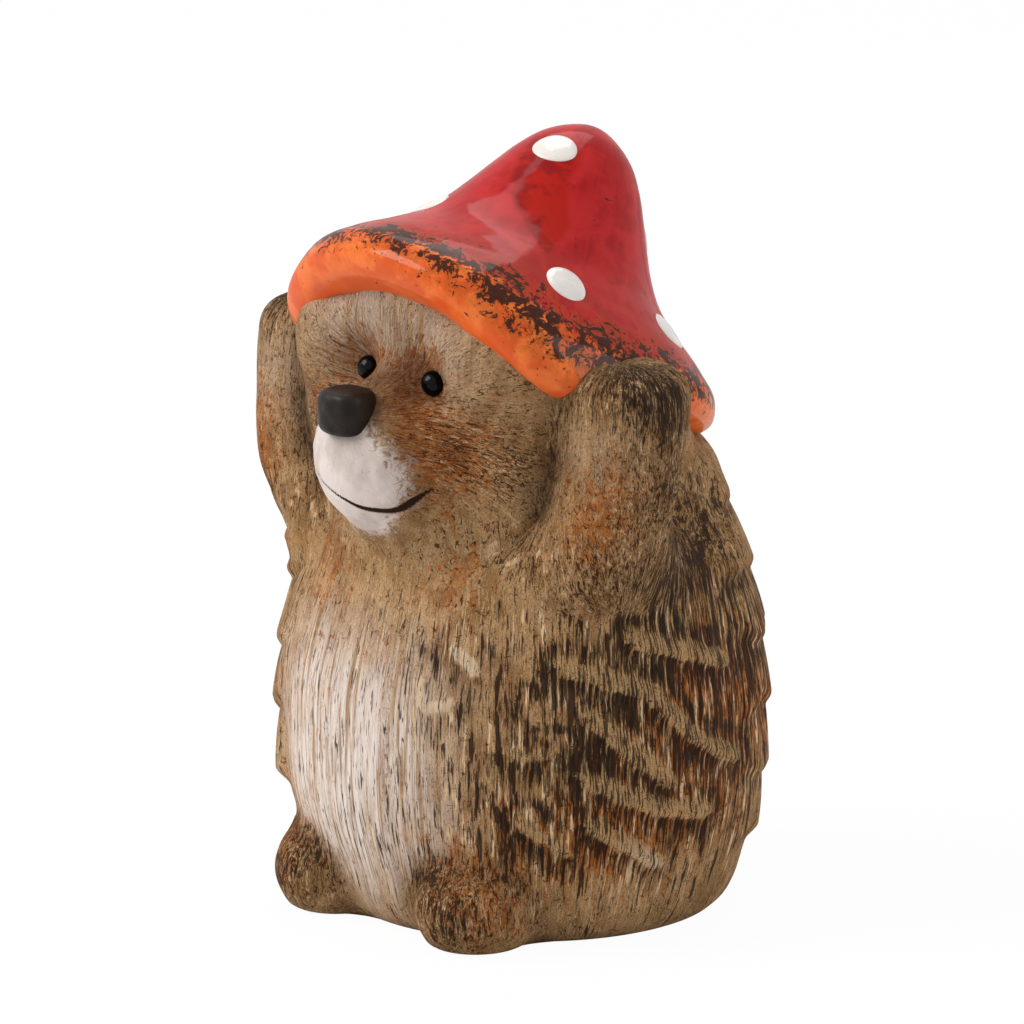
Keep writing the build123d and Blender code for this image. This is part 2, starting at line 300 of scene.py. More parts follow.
def brushed_bisque(name):
    """Bisque fired clay under dry-brushed paint, open and matte, with grooves along the brush.

    Umber lies in the low places, sand colour on the high ones, and the clay's grain breaks every coat. Strokes
    follow one of three vectors in millimetres, whose third part runs along the brush: stroke, away from the
    nose, where settle is 0; comb, straight down, where combed is 1; elsewhere whorl, round the arms."""
    material, tree = new_material(name)
    place = add(tree, "TexCoord", output="Object")
    stroke, comb, whorl = (add(tree, "Attribute", output="Vector", attribute_name=key)
                           for key in ("stroke", "comb", "whorl"))
    # Dark holds the umber wash and some painted shade in the grooves; the shade mask is painted shade alone
    pale, orange, dark, ridge, slip, line, settle, painted_shade, combed = (
        add(tree, "Attribute", output="Fac", attribute_name=key)
        for key in ("pale", "orange", "dark", "ridge", "slip", "line", "settle", "painted_shade", "combed"))

    def brushed(width, length, detail, waver):
        """Bristle marks of a width and a length in millimetres; round the nose and the arms they are shorter."""
        radial, round_arms, straight = (
            add(tree, "TexNoise", {
                "Vector": add(tree, "VectorMath", {0: way, 1: (slim / width, slim / width, brief / length)},
                              operation="MULTIPLY"),
                "Scale": 1.0, "Detail": detail + finer, "Roughness": rough, "Distortion": waver + bent})
            for way, slim, brief, finer, rough, bent in (
                (stroke, 1.0, 2.6, 0.0, 0.68, 1.3), (whorl, 1.15, 1.8, 1.0, 0.7, 0.6),
                (comb, 1.0, 1.0, 0.0, 0.6, 0.0)))
        level = add(tree, "Mix", {0: combed, 2: round_arms, 3: straight})
        return add(tree, "Mix", {0: settle, 2: radial, 3: level})

    # The brush: broad marks 1.25 mm by 12 mm, fine ones 0.4 mm by 6 mm, and drags of a dry brush 1.7 mm by 11 mm
    broad = brushed(1.25, 11.765, 3.0, 0.35)
    fine = brushed(0.4348, 5.8824, 2.0, 0.25)
    dry = brushed(1.6667, 11.111, 4.0, 0.5)
    # The clay: grain 0.4 mm and scratches 2.4 mm. The paint: clouds 12 mm wide and 17 mm high, combed grooves
    # 0.8 mm wide and 33 mm long
    grain, scratch, cloud, groove = (
        add(tree, "TexNoise", {
            "Vector": add(tree, "VectorMath", {0: way, 1: cells}, operation="MULTIPLY"),
            "Scale": 1.0, "Detail": detail, "Roughness": rough, "Distortion": bent})
        for way, cells, detail, rough, bent in (
            (place, (2500.0, 2500.0, 2500.0), 1.0, 0.5, 0.0), (place, (420.0, 420.0, 420.0), 4.0, 0.75, 1.5),
            (place, (85.0, 85.0, 60.0), 3.0, 0.6, 0.0), (comb, (1.3, 1.3, 0.03), 2.0, 0.5, 0.0)))

    unpainted = add(tree, "Math", {0: 1.0, 1: pale}, operation="SUBTRACT")
    umber = coverage(tree, broad, 0.695, 0.75, shifts=[(dark, 0.23)])
    body = painted(
        tree, "#916d45",
        ("#c59f72", coverage(tree, cloud, 0.36, 0.64)),
        # Sand colour caught on the brush marks' tops, and the clay's open pores
        ("#e4c497", coverage(tree, fine, 0.52, 0.62, 0.0, 0.8), coverage(tree, settle, 0.0, 1.0, 0.35),
         coverage(tree, combed, 0.0, 1.0, 0.85)),
        ("#5d3b1a", coverage(tree, grain, 0.42, 0.72, 0.0, 0.55)),
        # White wash combed down the belly, and flakes of rust
        (painted(tree, "#a68a71", ("#ddcfc5", coverage(tree, groove, 0.34, 0.50))),
         pale, coverage(tree, broad, 0.32, 0.50, 0.45)),
        (painted(tree, "#8f4a18", ("#b9692a", coverage(tree, cloud, 0.4, 0.6))),
         coverage(tree, dry, 1.08, 1.26, 0.0, 0.85, [(scratch, 0.9), (orange, 0.32)])),
        # Burnt clouds, brown wash, which also lays painted shade where the dark mask holds it, light on what the
        # brush missed, and umber marks
        ("#5a3314", coverage(tree, cloud, 0.50, 0.66, 0.0, 0.55), unpainted),
        ("#6b401d", dark, coverage(tree, dry, 0.38, 0.58, 0.03, 0.4)),
        ("#e6c49c", coverage(tree, broad, 0.44, 0.34), coverage(tree, dark, 0.3, 0.6),
         coverage(tree, combed, 0.0, 1.0, 0.55, 0.8)),
        ("#251205", umber, 0.9),
        # The flank's ridges of bare clay, paler where little umber lies
        (painted(tree, "#8a6945", ("#bb986c", coverage(tree, grain, 0.3, 0.7)),
                 ("#c9b193", coverage(tree, dark, 0.62, 0.42))),
         coverage(tree, ridge, -0.82, -0.44, 0.0, 0.85, [(broad, -1.25), (scratch, -1.25)])),
        # Black marks and nicks, and painted shade in the deep grooves, under the chin, in the armpits and round the
        # eyes
        ("#1a0f08", coverage(tree, fine, 0.662, 0.712, 0.0, 0.85, [(dark, 0.20)])),
        ("#2b190c", coverage(tree, scratch, 0.575, 0.64, 0.0, 0.8), unpainted),
        ("#24140a", painted_shade, 0.80),
        # Pale slip with ragged edges on the snout, and the line of the mouth
        (painted(tree, "#c0b1a9", ("#d8cbc4", coverage(tree, cloud, 0.36, 0.60)),
                 ("#9b8272", coverage(tree, scratch, 0.60, 0.68, 0.0, 0.4))),
         coverage(tree, slip, 1.10, 1.55, shifts=[(scratch, 1.6)])),
        ("#2a190f", coverage(tree, line, 0.30, 0.65)))

    height = 0.0
    for pattern, depth in ((broad, 0.6), (fine, 0.2), (grain, 0.07)):
        height = add(tree, "Math", {0: pattern, 1: depth, 2: height}, operation="MULTIPLY_ADD")
    # Thick slip levels the brush marks
    height = add(tree, "Math", {0: height, 1: coverage(tree, slip, 0.2, 0.8, 1.0, 0.3)}, operation="MULTIPLY")
    bump = add(tree, "Bump", {"Height": height, "Strength": 1.0, "Distance": 0.0015})
    shader = add(tree, "BsdfPrincipled", {
        "Base Color": body, "Roughness": coverage(tree, umber, 0.0, 1.0, 0.9, 0.7), "IOR": 1.45,
        "Specular IOR Level": 0.12, "Normal": bump})
    add(tree, "OutputMaterial", {"Surface": shader})
    return material


def run_glaze(name):
    """Glossy glaze, brushed red on the bell and run to orange on the rolled rim.

    Its thin clear coat mirrors the lamps softly over streaks and clouds of colour, and manganese specks and
    blots burnt through it gather along the rim's crest."""
    material, tree = new_material(name)
    place = add(tree, "TexCoord", output="Object")
    stroke = add(tree, "Attribute", output="Vector", attribute_name="stroke")
    band, crest, dusk, painted_dark_reflection = (add(tree, "Attribute", output="Fac", attribute_name=key)
                               for key in ("band", "crest", "dusk", "painted_dark_reflection"))
    # Brush streaks 3 mm wide and 17 mm long, clouds 10 mm, specks 1.6 mm, blots 5 mm, waves of the skin 8 mm
    streak, cloud, speck, blot, wave = (
        add(tree, "TexNoise", {
            "Vector": add(tree, "VectorMath", {0: way, 1: cells}, operation="MULTIPLY"),
            "Scale": 1.0, "Detail": detail, "Roughness": rough, "Distortion": bent})
        for way, cells, detail, rough, bent in (
            (stroke, (0.35, 0.35, 0.06), 2.0, 0.5, 0.6), (place, (100.0, 100.0, 100.0), 3.0, 0.6, 0.4),
            (place, (620.0, 620.0, 620.0), 3.0, 0.65, 0.4), (place, (190.0, 190.0, 190.0), 4.0, 0.72, 0.8),
            (place, (130.0, 130.0, 130.0), 2.0, 0.5, 0.0)))

    clouded = coverage(tree, cloud, 0.40, 0.62)
    red = painted(
        tree, "#9e0c10", ("#b51c20", clouded), ("#b91d14", coverage(tree, streak, 0.42, 0.64, 0.0, 0.35)),
        # The strip's deeper red is a painted dark reflection, where the glaze mirrors no lamp
        (painted(tree, "#860000", ("#a81200", coverage(tree, cloud, 0.44, 0.60))), painted_dark_reflection))
    rim = painted(tree, "#d4541c", ("#ea7432", clouded), ("#d9582c", dusk, 0.6))
    body = painted(
        tree, red, (rim, coverage(tree, band, 0.80, 1.10, shifts=[(streak, 0.9)])),
        ("#9c4a16", crest, coverage(tree, blot, 0.37, 0.53, 0.0, 0.85)),
        ("#2a130b", coverage(tree, blot, 0.69, 0.735, 0.0, 0.93, [(crest, 0.235)])),
        ("#3a150c", coverage(tree, speck, 0.70, 0.74, 0.0, 0.9, [(crest, 0.20)])))
    height = add(tree, "Math", {0: streak, 1: 0.12, 2: wave}, operation="MULTIPLY_ADD")
    bump = add(tree, "Bump", {"Height": height, "Strength": 0.07, "Distance": 0.0012})
    shader = add(tree, "BsdfPrincipled", {
        "Base Color": body, "Roughness": 0.45, "IOR": 1.4, "Specular IOR Level": 0.02, "Coat Weight": 0.32,
        "Coat Roughness": 0.10, "Coat IOR": 1.45, "Normal": bump, "Coat Normal": bump})
    add(tree, "OutputMaterial", {"Surface": shader})
    return material


def enamel(name, code, spot_code, roughness, clear_coat, gleam=0.3):
    """Enamel dabbed on by hand and fired: one colour with faint clouds and small worn flecks under its own gloss."""
    material, tree = new_material(name)
    place = add(tree, "TexCoord", output="Object")
    # Clouds 5 mm, flecks 0.8 mm
    cloud, fleck = (add(tree, "TexNoise", {"Vector": place, "Scale": per_metre, "Detail": 2.0, "Roughness": rough})
                    for per_metre, rough in ((200.0, 0.5), (1300.0, 0.6)))
    body = painted(tree, code, (spot_code, coverage(tree, cloud, 0.35, 0.65, 0.0, 0.35)),
                   (spot_code, coverage(tree, fleck, 0.62, 0.72, 0.0, 0.7)))
    bump = add(tree, "Bump", {"Height": cloud, "Strength": 0.5, "Distance": 0.0008})
    shader = add(tree, "BsdfPrincipled", {
        "Base Color": body, "Roughness": roughness, "IOR": 1.45, "Specular IOR Level": gleam,
        "Coat Weight": clear_coat, "Coat Roughness": 0.08, "Normal": bump, "Coat Normal": bump})
    add(tree, "OutputMaterial", {"Surface": shader})
    return material


bisque = brushed_bisque("dry_brushed_bisque")
cap_glaze = run_glaze("red_run_glaze")
# Thick pale enamel, whose soft gloss and faint clouds tell it from the matte slip
dot_enamel = enamel("white_enamel", "#dfd9d1", "#cfc9c4", 0.25, 0.6)
# Satin black, whose broad sheen and brown worn flecks show the nose's dents
nose_enamel = enamel("black_satin_enamel", "#150e09", "#33271e", 0.5, 0.05, 0.18)
# The glossiest, near black, so that one small highlight makes the eye look wet
eye_enamel = enamel("black_gloss_enamel", "#050403", "#0c0a08", 0.15, 0.12, 0.05)


# Torso with its quills

# Ridges of bare sand clay on the near flank: angle from the front and height, along each ridge; the first
# five are long, the others short and fainter
flank_ridges = [
    [(72.6, 80.6), (86.0, 76.5), (101.0, 71.0)],
    [(56.0, 74.8), (68.0, 70.3), (76.3, 67.6), (83.0, 60.0), (89.8, 53.3), (105.0, 44.9)],
    [(63.0, 61.0), (72.0, 52.0), (81.0, 44.0)],
    [(61.0, 46.0), (70.0, 41.2), (78.8, 36.9), (94.0, 32.8)],
    [(62.8, 33.4), (71.0, 27.5), (79.9, 21.3)],
    [(46.0, 34.5), (56.0, 27.2)],
    [(28.8, 78.7), (33.9, 74.4)],
    [(20.0, 71.0), (21.2, 66.0), (23.2, 64.0), (28.3, 65.6)],
    [(48.0, 64.9), (51.7, 59.3)],
    [(46.8, 52.7), (53.4, 54.4)],
]
long_ridges = 5
# Millimetres of the flank to a degree round it
flank_degree = 1.09
# Quills: height of the lowest row's lip behind, spacing of the rows, length, how far a tongue's tip hangs, degrees
# to a tongue, and the lips' rise from behind over so many degrees forward
quill_first_height, quill_pitch, quill_length, quill_tip = 14.0, 17.6, 22.0, 4.5
quill_step_angle, quill_rise, quill_sweep = 23.0, 14.0, 128.0
# Where each row starts, in degrees from the front, on the near side and on the far one
near_starts = [112.0, 112.0, 110.0, 106.0, 104.0, 110.0]
far_starts = [40.0, 38.0, 38.0, 42.0, 60.0, 100.0]


def ridge_distance(angle, height, path):
    """Distance from a ridge on the unrolled flank, and the same with a sign: above it or below it."""
    x = angle * flank_degree
    nearest = np.full(angle.shape, 1e9)
    rise = np.zeros(angle.shape)
    for (a0, z0), (a1, z1) in zip(path, path[1:]):
        dx, dz = (a1 - a0) * flank_degree, z1 - z0
        ox, oz = x - a0 * flank_degree, height - z0
        t = np.clip((ox * dx + oz * dz) / (dx * dx + dz * dz), 0, 1)
        ox, oz = ox - t * dx, oz - t * dz
        away = np.hypot(ox, oz)
        closer = away < nearest
        nearest = np.where(closer, away, nearest)
        rise = np.where(closer, np.sign(oz * dx - ox * dz) * away, rise)
    return nearest, rise


def quill_relief(angle, height):
    """Rows of tongues, each rising to its lower lip; the highest row at a place shows. Under the lips lie umber and
    painted shade.
    """
    relief, pocket = np.zeros(angle.shape), np.zeros(angle.shape)
    side = np.abs(angle)
    for row in range(6):
        start = np.where(angle >= 0, near_starts[row], far_starts[row])
        forward = (180 - side) / quill_sweep
        offset = 0.5 * (row % 2)
        scallop = np.abs(((180 - side) / quill_step_angle + offset + 0.5) % 1.0 - 0.5) * 2
        lip = quill_first_height + row * quill_pitch + quill_rise * forward ** 2 + quill_tip * scallop ** 2
        s = (height - lip) / quill_length
        shape = ease(-0.04, 0.20, s) * np.clip(1 - s, 0, 1) ** 0.8
        window = np.where(angle >= 0, ease(start - 4.0, start + 10.0, side), ease(start - 1.0, start + 4.0, side))
        proud = np.where(angle >= 0, 2.9, 3.5 - 0.6 * ease(130, 160, side))
        relief = np.maximum(relief, proud * shape * window * (1 - 0.35 * scallop ** 2))
        pocket = np.maximum(pocket, window * np.exp(-((height - lip + 1.2) / 1.7) ** 2))
    return relief, pocket


def ridge_relief(angle, height):
    """Low ridges on the near flank, sharp below and soft above: relief, pockets of umber and painted shade beside
    them, bare clay.
    """
    relief, pocket, sheen = (np.zeros(angle.shape) for _ in range(3))
    for k, path in enumerate(flank_ridges):
        wander = 1.2 * (soft_noise(40 + k, angle * 0.35, height * 0.35) - 0.5)
        away, rise = ridge_distance(angle, height + wander, path)
        ends = np.exp(-np.clip(away - np.abs(rise), 0, None) ** 2)
        size, above, below = (1.0, 4.6, 1.9) if k < long_ridges else (0.85, 2.6, 1.5)
        crest = np.where(rise > 0, np.exp(-(rise / 2.9) ** 2), np.exp(-(rise / 1.5) ** 2))
        uneven = 0.75 + 0.5 * soft_noise(60 + k, angle * 0.5, height * 0.5)
        relief = np.maximum(relief, size * crest * ends * uneven)
        fade = np.where(rise > 0, np.exp(-(rise / above) ** 4), np.exp(-(rise / below) ** 2))
        sheen = np.maximum(sheen, size * fade * ends)
        hollow = np.where(rise < 0, ease(0.8, 2.4, -rise) * np.exp(-(rise / 6.0) ** 2),
                          0.8 * np.exp(-((rise - 7.5) / 2.6) ** 2))
        pocket = np.maximum(pocket, size * hollow * np.exp(-np.clip(away - 7.0, 0, None)))
    return relief, pocket, sheen


# Soft patches of paint, and of painted shade and highlight: x, y, z, radius and amount; the mirrored ones lie on
# both sides
mirrored_orange = [
    (17.9, -49.4, 88.0, 13, 0.50), (26.0, -43.0, 98.0, 11, 0.28), (64.0, 8.0, 65.0, 18, 0.8),
    (54.0, 32.0, 56.0, 24, 0.7), (57.0, -22.0, 28.0, 16, 0.5), (60.0, 0.0, 40.0, 22, 0.6),
    (4.3, -47.0, 147.0, 10, 0.8), (22.0, -45.5, 125.0, 14, 0.85), (32.0, -40.0, 137.0, 11, 0.4),
    (15.0, -45.0, 150.0, 7, 0.5), (12.0, -50.0, 134.0, 10, 0.8), (66.0, -33.0, 127.0, 11, 0.45),
    (62.0, -35.0, 112.0, 14, 0.85), (28.0, -52.0, 18.0, 14, 0.6), (38.0, -45.0, 12.0, 12, 0.45)]
one_sided_orange = [
    (52.0, -36.0, 34.0, 20, 0.5), (60.0, -14.0, 60.0, 24, 0.35), (-55.0, -22.0, 60.0, 28, 0.8),
    (-52.0, 20.0, 50.0, 40, 0.4), (0.0, 60.0, 60.0, 45, 0.3)]
# Umber patches; those on the near paw's top under the cap's rim, at the paw's right and on the arm's outer side are
# painted shade
mirrored_dark = [
    (52.6, -33.8, 68.1, 14, 0.15), (61.5, -17.8, 69.5, 15, 0.30), (57.3, -27.7, 44.5, 14, 0.25),
    (58.5, -4.6, 95.2, 13, 0.40), (53.7, 10.7, 107.3, 17, 0.40), (60.0, 15.0, 40.0, 25, 0.2),
    (56.0, 26.0, 75.0, 26, 0.35), (0.0, -52.0, 144.0, 9, 0.12), (15.0, -48.0, 138.0, 10, 0.12),
    (34.0, -37.0, 126.0, 11, 0.35), (22.0, -46.0, 130.0, 8, 0.25), (66.0, -22.0, 152.0, 14, 0.80),
    (71.0, -16.0, 141.0, 9, 0.35), (69.0, -16.0, 121.0, 14, 0.45), (58.0, -26.0, 104.0, 11, 0.35),
    (36.0, -38.0, 104.0, 9, 0.20), (34.0, -56.0, 8.0, 11, 0.45), (26.0, -57.0, 14.0, 9, 0.30),
    (20.0, -52.0, 20.0, 8, 0.25)]
belly_strokes = [(34.0, -46.0, 48.0, 14, 0.20), (42.0, -42.0, 30.0, 14, 0.25), (12.0, -58.0, 30.0, 12, 0.15)]
# Painted shade: between cheek and arm, at the paw's right and behind the elbow; on the right, between chin and arm
mirrored_painted_shade = [
    (42.5, -32.0, 128.0, 7, 0.45), (40.0, -32.0, 118.0, 7, 0.45), (71.0, -15.0, 142.0, 9, 0.25),
    (58.5, -2.0, 95.0, 8, 0.35), (62.0, -4.0, 104.0, 6, 0.15)]
right_painted_shade = [(-23.4, -42.8, 101.0, 6, 0.35), (-27.0, -43.0, 93.0, 6, 0.2)]
# Pale patches on the forehead; the third is a painted highlight on the near arm's inner side
pale_and_highlight_patches = [
    (-12.0, -43.0, 161.0, 20, 0.40), (18.0, -43.0, 156.0, 14, 0.30), (60.5, -34.5, 131.0, 9, 0.12),
    (-56.0, -34.0, 135.0, 12, 0.2)]
snout_slip = [(0.0, -64.0, 122.0, 14, 1.6), (-10.0, -56.0, 119.0, 13, 0.8), (3.0, -58.0, 111.0, 7, 0.5),
              (13.0, -58.0, 121.0, 8, 0.3)]
# Radii of the rounds that the first two parts of a brush vector run on: torso, head and cap
comb_radius, head_stroke_radius, cap_stroke_radius = 55, 34, 40


def arm_whorl(points):
    """Place in millimetres along strokes that leave the paw's top and meet under the elbow; plain on the feet.

    It is (r cos t, r sin t, 40 p), where q runs from the arm's middle, t is its angle round the arm, p its angle
    from straight up, and r = 10 + 0.35 times its level length."""
    q = on_left(points) - arm_middle
    out, turn = np.hypot(q[..., 0], q[..., 1]), np.arctan2(q[..., 1], q[..., 0])
    reach = 10 + 0.35 * out
    whorl = np.stack([reach * np.cos(turn), reach * np.sin(turn), 40 * np.arctan2(out, q[..., 2])], -1)
    return np.where(points[..., 2:] > 60, whorl, points * (0.85, 0.85, 1.1))


def body_paint(points, ridge=0.0, pocket=0.0, slip=0.0, line=0.0, settle=1.0):
    """Masks of the paint from a place alone, so that pieces agree where they meet, and two of its brush vectors.

    Pale is the belly's wash, orange the rust, dark the umber wash with painted shade added, the shade mask painted
    shade in deep grooves."""
    everywhere = np.ones(points.shape[:-1])
    left, height = on_left(points), points[..., 2]
    angle = np.degrees(np.arctan2(points[..., 0], -points[..., 1]))
    belly = np.exp(-(((angle + 5) / 31) ** 4) - ((height - 44) / 35) ** 4)
    pale = belly * (0.75 + 0.5 * soft_noise(3, angle * 0.25 + 90, height / 30))
    orange = np.clip(patches(left, mirrored_orange) + patches(points, one_sided_orange), 0, 1)
    flank = ease(26, 60, np.abs(angle)) * np.exp(-((height - 62) / 42) ** 4)
    body_side, head_side, arm_side, foot_side = (
        np.clip(field(points), 0, None) for field in (torso_field, head_field, arm_field, foot_field))
    # Grooves between the pieces, the chin, the armpits and the eye sockets: masks for painted shade
    cheek_groove = np.exp(-((head_side + arm_side) / 5.0) ** 2) * ease(100, 112, height) * ease(160, 145, height)
    arm_groove = np.exp(-((body_side + arm_side - 4.0) / 7.0) ** 2)
    foot_groove = np.exp(-((body_side + foot_side) / 4.0) ** 2)
    beside_foot = 1 - np.exp(-(foot_side / 4.0) ** 2)
    socket = np.exp(-(np.linalg.norm(left - eye_middle, axis=-1) / 4.0) ** 4)
    # The pale patches also lay a painted highlight on the near arm's inner side
    pale = pale * beside_foot + patches(points, pale_and_highlight_patches)
    near = np.where(angle > 0, 1.0, 0.4)
    # Dark is the umber wash, with painted shade in the grooves and under the lips added to it
    dark = (0.38 + 0.17 * flank * near * (1 - pale) + 0.9 * patches(left, mirrored_dark) * (1 - 0.5 * pale)
            - 0.1 * pale + patches(points, belly_strokes)
            + 0.2 * arm_groove + 0.3 * foot_groove + 0.3 * cheek_groove + 0.36 * pocket)
    # The shade mask: painted shade under the chin, in the armpits and grooves, round the eyes and under the lips
    chin = np.exp(-((head_side + body_side - 6.0) / 8.0) ** 2) * ease(60, 40, np.abs(angle))
    armpit = arm_groove * ease(60, 45, np.abs(angle))
    painted_shade = (0.75 * cheek_groove + 0.18 * chin + 0.12 * armpit + 0.45 * foot_groove + 0.35 * socket
             + 0.35 * pocket * (1 - pale) + patches(left, mirrored_painted_shade) + patches(points, right_painted_shade))
    combed = ease(104, 84, height) * (1 - np.exp(-(arm_side / 7.0) ** 2)) * beside_foot
    masks = {"combed": combed, "pale": pale, "orange": orange, "dark": dark, "ridge": ridge, "slip": slip,
             "line": line, "settle": settle, "painted_shade": painted_shade}
    masks = {key: np.clip(values * everywhere, 0, 1) for key, values in masks.items()}
    turn = np.radians(angle)
    masks["comb"] = np.stack([np.sin(turn) * comb_radius, -np.cos(turn) * comb_radius, height], -1)
    masks["whorl"] = arm_whorl(points)
    return masks


def torso():
    """Hollow egg: the wall's inner side from its crown down to the vent, then the base and the outer side up.

    The outer side is where level rays from the axis leave the egg, raised by slip, quills, ridges and grooves."""
    around, wall, vent_radius = 420, 5.0, 7.0
    turn = np.linspace(-180, 180, around, endpoint=False)
    radians = np.radians(turn)
    inner = np.concatenate([[123.0], np.linspace(122.9, wall, 26)])
    rows = []
    for k, (a, b, _, cy) in enumerate(curve_through(torso_rings[:, 0], torso_rings[:, 1:], inner)):
        ring = [(a - wall) * np.sin(radians), cy - (b - wall) * np.cos(radians), np.full(around, inner[k])]
        rows.append(np.stack(ring, -1) * (min(k, 1), min(k, 1), 1))
    for radius, z in ((vent_radius + 0.4, wall), (vent_radius, wall - 0.4), (vent_radius, 0.5),
                      (vent_radius + 0.5, 0.0), (20.0, 0.0), (34.0, 0.0)):
        rows.append(np.stack([radius * np.sin(radians), -radius * np.cos(radians), np.full(around, z)], -1))
    heights = np.concatenate([np.linspace(0.0, 6.0, 14), np.linspace(6.7, 127.6, 182)])
    angle, height = np.meshgrid(turn, heights)
    bend = np.radians(angle)
    way = np.stack([np.sin(bend), -np.cos(bend), np.zeros_like(bend)], -1)
    axis = np.stack([np.zeros_like(bend), np.interp(height, torso_rings[:, 0], torso_rings[:, 4]), height], -1)
    quills, quill_pocket = quill_relief(angle, height)
    ridges, ridge_pocket, sheen = ridge_relief(angle, height)
    # Brush grooves: 180 round the torso and 26 mm long, and 90 deeper ones 40 mm long
    grooves = (soft_noise(11, (angle + 180) / 360 * 180, height / 26, 180) - 0.5) * 0.55
    grooves += (soft_noise(12, (angle + 180) / 360 * 90, height / 40, 90) - 0.5) * 0.7
    foot_fade = ease(1.0, 9.0, height)
    relief = quills * foot_fade + 1.4 * ridges
    grooves = grooves * foot_fade

    def field(points):
        own = torso_field(points)
        head_side, arm_side = head_field(points), arm_field(points)
        slip = np.maximum(fillet(own, head_side, neck_slip), fillet(own, arm_side, shoulder_slip))
        slip = np.maximum(slip, fillet(own, foot_field(points), foot_slip))
        clear = ease(4.0, 12.0, head_side) * ease(4.0, 12.0, arm_side)
        return own - slip - relief - grooves * clear

    outer = cast(axis, way, 90.0, field)
    rows = np.concatenate([np.array(rows), outer, np.broadcast_to([0.0, 9.0, 128.0], (1, around, 3))])
    unseen = len(rows) - len(heights) - 1
    paint = body_paint(outer, ridge=sheen, pocket=np.maximum(0.6 * quill_pocket, ridge_pocket))
    attributes = {}
    for key, values in paint.items():
        rest = values.shape[2:]
        attributes[key] = np.concatenate([np.zeros((unseen, around, *rest)), values, np.zeros((1, around, *rest))])
    return skin("torso_skin", rows, attributes, bisque, "painted_bisque", "torso",
                *[f"quill_row_{k}" for k in range(1, 7)])


# Head with its snout

mouth_line = np.array([(-18.6, 125.6), (-15.0, 122.6), (-11.0, 120.9), (-5.7, 118.4), (1.3, 115.7), (7.0, 113.7),
                       (13.3, 114.1), (19.4, 119.3)])


def mouth_distance(points):
    """Distance from the smile, seen from the front, and the share of the way along it."""
    best, along = np.full(points.shape[:-1], 1e9), np.zeros(points.shape[:-1])
    knots = np.arange(len(mouth_line), dtype=float)
    for k, (x, z) in enumerate(curve_through(knots, mouth_line, np.linspace(0, knots[-1], 60))):
        away = np.hypot(points[..., 0] - x, points[..., 2] - z)
        closer = away < best
        best, along = np.where(closer, away, best), np.where(closer, k / 59.0, along)
    return np.where(points[..., 1] < -30, best, 1e9), along


def head():
    """Head and snout on rays from inside the head, the pole of the rays on the nose."""
    rows_count, around = 250, 330
    middle = np.array([0, -16.0, 136.0])
    way = sphere_ways(rows_count, around, nose_middle - middle)
    start = np.broadcast_to(middle, way.shape)

    def field(points):
        own = head_field(points)
        slip = np.maximum(fillet(own, torso_field(points), neck_slip), fillet(own, arm_field(points), cheek_slip))
        return own - slip

    points = cast(start, way, 75.0, field)
    away, along = mouth_distance(points)
    width = 0.42 + 0.48 * ease(0.35, 0.85, along) * ease(1.01, 0.90, along)
    line, line_depth = np.exp(-(away / width) ** 2), 0.55
    points = points - way * (line * line_depth)[..., None]
    nose_side = points - nose_middle
    off = np.hypot(nose_side[..., 0], nose_side[..., 2] * 0.8)
    turn = np.arctan2(nose_side[..., 0], nose_side[..., 2])
    grooves = (soft_noise(21, (turn / (2 * math.pi) + 0.5) * 70, off / 9, 70) - 0.5) * 0.3 * ease(8, 18, off)
    grooves = grooves * ease(4.0, 12.0, torso_field(points))
    points = points + way * grooves[..., None]
    far = np.linalg.norm(nose_side, axis=-1)
    settle = np.maximum(np.exp(-(np.clip(torso_field(points) - 4.5, 0, None) / 7.0) ** 2),
                        np.exp(-(np.clip(arm_field(points) - 2.0, 0, None) / 4.0) ** 2))
    attributes = body_paint(points, slip=patches(points, snout_slip), line=line, settle=settle)
    attributes["stroke"] = np.stack([np.sin(turn) * head_stroke_radius, np.cos(turn) * head_stroke_radius, far], -1)
    return skin("head_skin", points, attributes, bisque, "painted_bisque", "head", "muzzle")


def arm(side, name):
    """One arm on rays from its middle, the pole of the rays along the arm."""
    middle = arm_middle * (side, 1, 1)
    way = sphere_ways(170, 170, (0.15 * side, 0, 1))
    start = np.broadcast_to(middle, way.shape)

    def field(points):
        own = arm_field(points)
        body_side = torso_field(points)
        slip = np.maximum(fillet(own, body_side, shoulder_slip), fillet(own, head_field(points), cheek_slip))
        around = np.arctan2(points[..., 1] - middle[1], points[..., 0] - middle[0]) / (2 * math.pi) + 0.5
        grooves = soft_noise(31, around * 44, points[..., 2] / 20, 44) - 0.5
        return own - slip - grooves * 0.6 * ease(4.0, 12.0, body_side)

    points = cast(start, way, 60.0, field)
    return skin(name + "_skin", points, body_paint(points), bisque, "painted_bisque", name)


def foot(side, name):
    """One foot on rays from its middle, the pole of the rays straight up."""
    middle = foot_middle * (side, 1, 1) - (0, 0, 3.0)
    way = sphere_ways(110, 150, (0, 0, 1))
    start = np.broadcast_to(middle, way.shape)

    def field(points):
        own = foot_field(points)
        around = np.arctan2(points[..., 1] - middle[1], points[..., 0] - middle[0]) / (2 * math.pi) + 0.5
        grooves = soft_noise(33, around * 40, points[..., 2] / 14, 40) - 0.5
        return own - fillet(own, torso_field(points), foot_slip) - grooves * 0.6 * ease(0.5, 3.0, points[..., 2])

    points = cast(start, way, 40.0, field)
    points[..., 2] = np.maximum(points[..., 2], 0)
    return skin(name + "_skin", points, body_paint(points), bisque, "painted_bisque", name)


# Cap, dots, nose and eyes

profile_arc = np.concatenate([[0], np.cumsum(np.hypot(*np.diff(cap_profile, axis=0).T))])
cap_length = profile_arc[-1]


